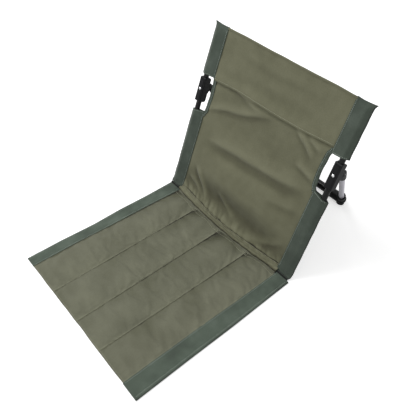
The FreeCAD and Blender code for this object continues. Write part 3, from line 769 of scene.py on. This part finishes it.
def back_panel(name, low, high, rows, folds, forward, nodes, foot=False):
    """A panel between two rises, each given as a line across the back."""
    columns = np.linspace(-1, 1, panel_columns)
    start = np.interp(columns * seam_x, *low)
    end = np.interp(columns * seam_x, *high)
    crowded = np.linspace(0, 1, rows)[:, None] ** (1.3 if foot else 1.0)
    rise = start + crowded * (end - start)
    above = rise - start
    across = columns * panel_edge(rise)
    depth = panel_depth(across, rise)
    swell = sum(crease(across, rise, *fold) for fold in folds)
    if foot:
        swell -= lap_groove * bell(rise - np.interp(across, *seam_line) + 5, 4)
    swell *= smooth_step((seam_x - np.abs(across)) / 10)
    swell += 0.8 * ripple(across, rise, 60, 2.5) + 0.35 * ripple(across, rise, 19, 7.1)
    sewn_in = np.zeros_like(rise)
    if foot:
        slanted = across + 0.7 * rise
        gathers = np.abs(ripple(slanted, 0.3 * rise, 17, 6.1)) + 0.5 * ripple(slanted, 0.4 * rise, 7.5, 3.3)
        patchy = np.clip(0.6 + 1.2 * ripple(across, 0, 70, 2.2), 0.25, 1)
        swell += gather_height * gathers * patchy * bell(above - 10, 11)
        wander = sewn_rise + 2.2 * ripple(across, 0, 21, 8.4)
        tight = np.clip(0.8 + 0.9 * ripple(across, 0, 27, 1.9), 0.3, 1.2)
        sewn_in = tight * bell(above - wander, 1.6)
    swell -= sewn_pull * sewn_in
    behind = depth - forward * smooth_step(1 - above / 30) - swell
    behind = np.where(np.abs(across) > seam_x - 4, depth, behind)
    points = on_back(across, behind, rise)
    hollow = bell(rise - np.interp(across, *shade_line), 24) * bell(across - 10, 140)
    # Painted light and shade. The folds' ridges are paler, partly as rubbed wear and partly as painted light.
    # Painted shade lies in their hollows, in the hollow above the hinge and along the sewn-in row. Above the
    # foot is a band of painted shade with paler gathers.
    wear_and_shade = 0.25 + 0.7 * relief(swell - 0.35 * panel_depth(0, rise), 60)
    wear_and_shade = wear_and_shade - 0.4 * hollow - 0.9 * sewn_in
    if foot:
        wear_and_shade = wear_and_shade - 0.2 * bell(above - 13, 9) + 0.25 * gathers * bell(above - 12, 9)
    sewn_row = np.abs(above[:, panel_columns // 2] - (sewn_rise if foot else lap_row)).argmin()
    sewn_line = along_cloth(points, panel_cloth / 2 + thread_lift, row=sewn_row)
    row_of_stitches = stitched(name + "_stitches", [sewn_line], olive_thread)
    if foot:
        points, wear_and_shade = with_foot(points, wear_and_shade)
    piece = cloth_sheet(name, points, wear_and_shade, panel_cloth, back_cloth)
    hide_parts(*nodes)
    return piece, row_of_stitches


seam_across, seam_rises = seam_line
lap_over = (seam_across, np.array(seam_rises) + lap_width)
panel_foot = ((-seam_x, 0, seam_x), (6.0, 1.0, 6.0))
panel_head = ((-seam_x, seam_x), (back_length - 4, back_length - 4))
back_lower = back_panel("back_cloth_lower", panel_foot, lap_over, 150, slack_folds, 0.0,
                        ("back_panel_lower", "back_hinge_hem"), foot=True)
for piece in back_lower:
    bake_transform(piece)
back_upper = back_panel("back_cloth_upper", seam_line, panel_head, 64, tuck_folds, lap_lift,
                        ("back_panel_upper",))
for piece in back_upper:
    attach(piece, "backrest")

# Top hem
# The upper panel's top edge is turned over to the rear and sewn down in one row. A narrow lip of the same
# cloth shows in front.
hem_height = 13.0
hem_lip = 4.0
hem_turn = 1.2  # below the fold, where it starts to turn
hem_low = 0.6
hem_cloth = 0.9
hem_gap = 1.15


def turned_edge(flat, nose, start):
    """A folded edge: how far its nose stands out, and its side, from -1 in front to 1 behind."""
    turn = np.linspace(start, math.pi - start, nose)
    stands_out = np.r_[np.zeros(flat), np.sin(turn), np.zeros(flat)]
    side = np.r_[np.full(flat, -1.0), -np.cos(turn), np.full(flat, 1.0)]
    return stands_out, side


hem_x = np.linspace(-seam_x - 1, seam_x + 1, 110)
hem_path = np.r_[np.linspace(-hem_lip, -hem_turn, 7), np.full(5, -hem_turn),
                 np.linspace(-hem_turn, -hem_height, 7)]
hem_round, hem_side = turned_edge(7, 5, 0.4)
hem_across = np.repeat(hem_x[:, None], len(hem_path), 1)
hem_dip = 0.9 * ripple(hem_across, 0, 48, 6.6)
hem_rise = back_length + hem_path + hem_round + hem_dip - hem_low
hem_behind = panel_depth(hem_across, hem_rise) + hem_side * hem_gap
hem_points = on_back(hem_across, hem_behind, hem_rise)
top_hem = cloth_sheet("top_hem", hem_points, None, hem_cloth, back_cloth)
hem_line = along_cloth(hem_points, -hem_cloth / 2 - thread_lift, column=-2)
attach(stitched("top_hem_stitches", [hem_line], olive_thread), "backrest")
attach(top_hem, "backrest")
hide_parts("back_top_hem")

# Pole sleeves
# Dark green cloth wrapped round each pole and sewn to the panel along its inner edge. Each side has a lower
# and an upper sleeve with the bare pole between them. The outer ends are sewn flat, and the top corners
# stick out.
sleeve_cloth = 0.8
sleeve_reach = pole_radius + 0.75
sleeve_wrap = (-14, 28)  # degrees round the pole where the cloth lies on it
sleeve_flat = 1.1
sleeve_ends = 12.0
sleeve_row_step = 2.6
ear_reach = 3.4
ear_height = 9.0
ear_dip = 1.3  # the top edge hangs between the ear and the panel
heel_raise = 3.5  # the lower end's inner corner clears the hinge
heel_tuck = 4.5  # the lower end is pulled forward to the hinge
heel_height = 16.0
# The sleeve's section: from the front inner edge over the pole, round the outer fold and back behind.
wrap = np.radians(np.linspace(*sleeve_wrap, 9))
touch_x = pole_x + sleeve_reach * np.sin(wrap)
touch_n = sleeve_reach * np.cos(wrap)
face_x = np.r_[np.linspace(seam_x - 2, touch_x[0], 12)[:-1], touch_x,
               np.linspace(touch_x[-1], half_width - 0.6, 6)[1:]]
face_n = np.r_[np.linspace(1.3, touch_n[0], 12)[:-1], touch_n, np.linspace(touch_n[-1], 0.9, 6)[1:]]
profile_x = np.r_[face_x, [half_width], face_x[::-1]]
profile_n = np.r_[-face_n, [0.0], face_n[::-1]]


def pole_sleeve(name, side, bottom, top, shut):
    """One sleeve. bottom and top give the rise of its ends at the inner and the outer edge."""
    share = np.linspace(0, 1, int((max(top) - min(bottom)) / sleeve_row_step))[:, None]
    over = np.clip((profile_x - seam_x) / (half_width - seam_x), 0, 1)
    low = bottom[0] + (bottom[1] - bottom[0]) * over
    high = top[0] + (top[1] - top[0]) * over
    if shut == "top":
        high -= 4 * ear_dip * over * (1 - over)
    else:
        low += heel_raise * np.clip(1 - over / 0.35, 0, 1) ** 2
    rise = low + (high - low) * share
    away = high - rise if shut == "top" else rise - low
    across = np.repeat(profile_x[None, :], len(share), 0)
    if shut == "top":
        ear = np.clip(1 - away / ear_height, 0, 1) ** 2
        across += ear * ear_reach * np.clip((over - 0.6) / 0.4, 0, 1)
    wave = ripple(across, rise, 34, 1.2 + side) + 0.5 * ripple(across, rise, 11, 9.2 + side)
    flat_n = np.sign(profile_n) * np.minimum(np.abs(profile_n), sleeve_flat)
    behind = flat_n + (profile_n - flat_n) * smooth_step(away / sleeve_ends)
    loose = np.clip(np.abs(profile_x - pole_x) / 12, 0, 1) * smooth_step(over / 0.2)
    behind += 0.55 * wave * loose * np.sign(profile_n)
    if shut == "bottom":
        behind -= heel_tuck * np.clip(1 - away / heel_height, 0, 1) ** 2
    across += 0.9 * ripple(0, rise, 26, 3.3 + side) * smooth_step((over - 0.75) / 0.25)
    points = facing(side, on_back(side * across, behind, rise))
    # Painted light and shade on the sleeve: its tone follows the waves of its cloth, paler where they stand
    # forward, and a painted shadow runs along its outer edge.
    wear_and_shade = usual_wear + 0.35 * wave - 0.8 * smooth_step((over - 0.95) / 0.04)
    piece = cloth_sheet(name, points, facing(side, wear_and_shade), sleeve_cloth, green_cloth)
    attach(piece, "backrest")
    open_row = -2 if shut == "bottom" else 1
    lift = sleeve_cloth / 2 + thread_lift
    lines = [along_cloth(points[2:-2], lift, column=column) for column in (1, -2)]
    half = points.shape[1] // 2 - 2
    lines += [along_cloth(face, lift, row=open_row) for face in (points[:, 1:half], points[:, -half:-1])]
    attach(stitched(name + "_stitches", lines, green_thread), "backrest")
    return piece


sleeves = (("left", -1, (208, 200), (288, 286)), ("right", 1, (204, 197), (286, 291)))
for name, side, lower_top, upper_bottom in sleeves:
    lower_sleeve = pole_sleeve("pole_sleeve_lower_" + name, side, (2.5, 2.5), lower_top, "bottom")
    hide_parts("sleeve_lower_" + name)
    upper_sleeve = pole_sleeve("pole_sleeve_upper_" + name, side, upper_bottom, (398, 399), "top")
    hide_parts("sleeve_upper_" + name)

# Notch bindings
# Dark green tape folded over the curved edge that each side notch leaves on the panel, and sewn through in
# one row near its inner edge.
tape_cloth = 0.8
tape_width = 8.6
tape_gap = 1.25
tape_rise = np.linspace(notch_bottom - 6, notch_top + 5, 46)[:, None]
tape_over = np.r_[np.linspace(0, 1, 8), np.full(3, 1.0), np.linspace(1, 0, 8)]
tape_nose, tape_side = turned_edge(8, 3, 0.5)
for name, side in sides:
    rise = np.repeat(tape_rise, len(tape_over), 1)
    outer = panel_edge(rise) + 1.4 - 0.6 * smooth_step((np.abs(rise - notch_middle) - 40) / 6)
    across = outer - tape_width * (1 - tape_over) + 0.9 * tape_nose
    behind = panel_depth(across, rise) + tape_side * tape_gap
    behind += tape_side * 0.5 * np.abs(ripple(across, rise, 8, 5.0 + side))
    across += 0.9 * ripple(0, rise, 13, 2.4 + side) * tape_over
    points = facing(side, on_back(side * across, behind, rise))
    tape_wear = np.clip(usual_wear + 0.5 * ripple(across, rise, 6, 8.0 + side), 0, 1)
    binding = cloth_sheet("notch_tape_" + name, points, tape_wear, tape_cloth, green_cloth)
    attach(binding, "backrest")
    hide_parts("notch_binding_" + name)
    tape_lines = [along_cloth(points, tape_cloth / 2 + thread_lift, column=column) for column in (2, -3)]
    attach(stitched("notch_tape_stitches_" + name, tape_lines, green_thread), "backrest")

# Poles, struts and crossbar
# Drawn aluminium tube. The poles and the crossbar are powder coated gloss black, the struts are satin
# anodised. The poles run through the brackets, and the struts are pressed into the knuckles and the feet.
strut_tilt = math.radians(-36)  # turns the drawn lines along the struts


def both(*kinds):
    return [kind + side for kind in kinds for side in ("left", "right")]


def dress(nodes, material):
    """Gives CAD nodes a finish, in a single material slot."""
    for node in nodes:
        part = frame["nodes"][node]
        part.data.materials.clear()
        part.data.materials.append(material)


# Powder coat: black and glossy, with the faint orange peel of a baked coat, 2.5 mm wide.
black_tube = fine_grained("powder_coated_aluminium_black", 2.5 * MM, 2.0, gloss=(0.22, 0.36),
                          bump=(0.12, 0.3 * MM),
                          sockets={"Base Color": linear("#0B0C0D"), "IOR": 1.5, "Specular IOR Level": 0.25})
# Satin anodising: soft bright reflections, with fine lines along the draw of the tube, 0.6 by 40 mm.
silver_tube = fine_grained("anodised_aluminium_satin", 0.6 * MM, 3.0, ("#C9C8D2", "#E4E2EA"), drawn=40 * MM,
                           gloss=(0.30, 0.45), sockets={"Metallic": 1.0})
dress([*both("back_pole_"), "crossbar"], black_tube)
dress(both("strut_"), silver_tube)

# Brackets, knuckles, feet and plugs
# Glass-filled nylon, injection moulded and spark textured, in plain black. The brackets are riveted to the
# poles, and the others are pushed onto or into their tubes.
# It has a soft sheen, broken by a fine texture, drawn three times too coarse at 0.9 mm so that it shows, and
# slightly greyer flow marks of about 12 mm.
black_nylon = fine_grained("glass_filled_nylon_black", 0.9 * MM, 2.0, ("#08090A", "#111214"), marks=12 * MM,
                           gloss=(0.38, 0.58), bump=(0.2, 0.15 * MM),
                           sockets={"IOR": 1.53, "Specular IOR Level": 0.18})
moulded = both("pivot_bracket_", "strut_knuckle_", "corner_foot_", "pole_plug_bottom_", "pole_plug_top_")
dress(moulded, black_nylon)

# Rivets and pins
# Nickel-plated steel: a dome-headed rivet fixes each bracket to its pole, and a plain pin carries each
# knuckle. The plate is bright, with the fine random scratches of barrel polishing, half a millimetre wide.
bright_steel = fine_grained("nickel_plated_steel", 0.5 * MM, 3.0, ("#C4C5C8", "#E2E2E2"), gloss=(0.16, 0.34),
                            sockets={"Metallic": 1.0})
dress(both("bracket_rivet_", "pivot_pin_"), bright_steel)

# Studio
# A pale floor and backdrop under soft light from above, with the camera where the chair is seen from its
# front right. The floor is a little under the chair, so that the two don't flicker where they meet.
floor_drop = 0.6
floor_size = 12
deselect()
bpy.ops.mesh.primitive_plane_add(size=floor_size, location=(0, 0, -floor_drop * MM))
floor = bpy.context.active_object
floor.name = "studio_floor"
# White paper: dull, and lit a little for the camera alone, so that it is white and keeps the chair's shadow.
floor_paper, paper_tree, paper = new_material("white_paper_sweep")
seen = add_node(paper_tree, "LightPath", {})
glow = add_node(paper_tree, "Math", {0: seen.outputs["Is Camera Ray"], 1: 0.5}, operation="MULTIPLY")
fill(paper_tree, paper, {"Base Color": linear("#F2F2F2"), "Roughness": 0.9,
                         "Emission Color": linear("#FFFFFF"), "Emission Strength": glow.outputs["Value"]})
floor.data.materials.append(floor_paper)

world = bpy.data.worlds.new("studio")
bpy.context.scene.world = world
world.use_nodes = True
sky_tree = world.node_tree
path = add_node(sky_tree, "LightPath", {})
direct = add_node(sky_tree, "Math", {0: path.outputs["Is Camera Ray"], 1: path.outputs["Is Glossy Ray"]},
                  operation="MAXIMUM")
direct = add_node(sky_tree, "Math", {0: direct.outputs["Value"], 1: path.outputs["Is Transmission Ray"]},
                  operation="MAXIMUM")
level = add_node(sky_tree, "MapRange", {"Value": direct.outputs["Value"], "To Min": 0.52, "To Max": 1.0})
fill(sky_tree, sky_tree.nodes["Background"], {"Color": (1, 1, 1, 1), "Strength": level.outputs["Result"]})

chair_middle = Vector((0, 0, 0.15))
lamps = (("key_softbox", (-0.9, -0.6, 2.0), 0.9, 29), ("fill_softbox", (0.9, -1.8, 1.2), 1.4, 3))
for name, place, size, watts in lamps:
    light = bpy.data.lights.new(name, "AREA")
    light.size = size
    light.energy = watts
    lamp = new_object(name, light)
    lamp.location = place
    lamp.rotation_mode = "QUATERNION"
    lamp.rotation_quaternion = (chair_middle - lamp.location).to_track_quat("-Z", "Y")

camera_place = Vector((523.1, -480.54, 829.3)) * MM
camera_right = Vector((0.65518, 0.75503, 0.02598))
camera_look = Vector((-0.5134, 0.47021, -0.71786))
camera_up = camera_right.cross(camera_look)
camera_data = bpy.data.cameras.new("camera")
camera_data.sensor_width = 36.0
camera_data.lens = 41.63
camera = new_object("camera", camera_data)
turn = Matrix((camera_right, camera_up, -camera_look)).transposed().to_4x4()
camera.matrix_world = Matrix.Translation(camera_place) @ turn
bpy.context.scene.camera = camera
bpy.context.scene.view_settings.view_transform = "Standard"
